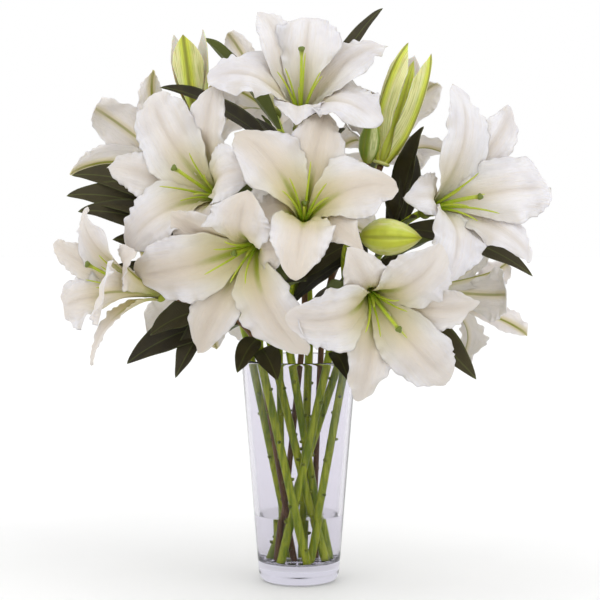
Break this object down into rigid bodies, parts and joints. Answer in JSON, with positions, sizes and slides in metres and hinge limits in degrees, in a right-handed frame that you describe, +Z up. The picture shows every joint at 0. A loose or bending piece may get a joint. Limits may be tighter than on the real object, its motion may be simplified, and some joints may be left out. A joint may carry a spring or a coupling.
{
  "type": "lilies in a vase",
  "caption": "Bunch of open white lilies with green throats, buds and dark glossy leaves, their stems standing in water in a tall tapered clear glass vase.",
  "frame": {"origin": "centre of the vase's flat underside, on the surface it stands on", "axes": "+Z up along the axis of the vase, -Y towards the viewer of the picture, +X to the right in it"},
  "size_m": [0.4843, 0.3909, 0.574],
  "materials": {
    "glass": "clear polished glass",
    "water": "clear still water",
    "petal": "soft satin white petal",
    "pistil": "smooth yellow-green",
    "bud": "smooth pale yellow-green",
    "stem_green": "smooth green stem with dark glossy leaves",
    "stem_brown": "smooth red-brown stem with dark glossy leaves"
  },
  "bodies": {
    "root": {"vase": "glass", "water": "water", "stem_back_left": "stem_green", "stem_lower_left": "stem_green", "stem_upper_left": "stem_green", "stem_centre": "stem_green", "stem_back_top": "stem_green", "stem_lower_right": "stem_green", "stem_right": "stem_green", "stem_back_right_low": "stem_green", "stem_top": "stem_brown", "stem_far_left": "stem_brown", "stem_back_right_top": "stem_brown", "stem_back_low": "stem_green", "bloom_centre": "petal", "pistil_centre": "pistil", "bloom_top": "petal", "pistil_top": "pistil", "bloom_upper_left": "petal", "pistil_upper_left": "pistil", "bloom_lower_left": "petal", "pistil_lower_left": "pistil", "bloom_lower_right": "petal", "pistil_lower_right": "pistil", "bloom_right": "petal", "pistil_right": "pistil", "bloom_far_left": "petal", "pistil_far_left": "pistil", "bloom_back_left": "petal", "pistil_back_left": "pistil", "bloom_back_top": "petal", "pistil_back_top": "pistil", "bloom_back_right_low": "petal", "pistil_back_right_low": "pistil", "bloom_back_right_top": "petal", "pistil_back_right_top": "pistil", "bloom_back": "petal", "pistil_back": "pistil", "bloom_back_low": "petal", "pistil_back_low": "pistil", "bud_opening_right": "bud", "bud_opening_left": "bud", "bud_short": "bud", "bud_middle": "bud", "bud_back_right": "bud", "bud_back_left": "bud"}
  },
  "joints": []
}
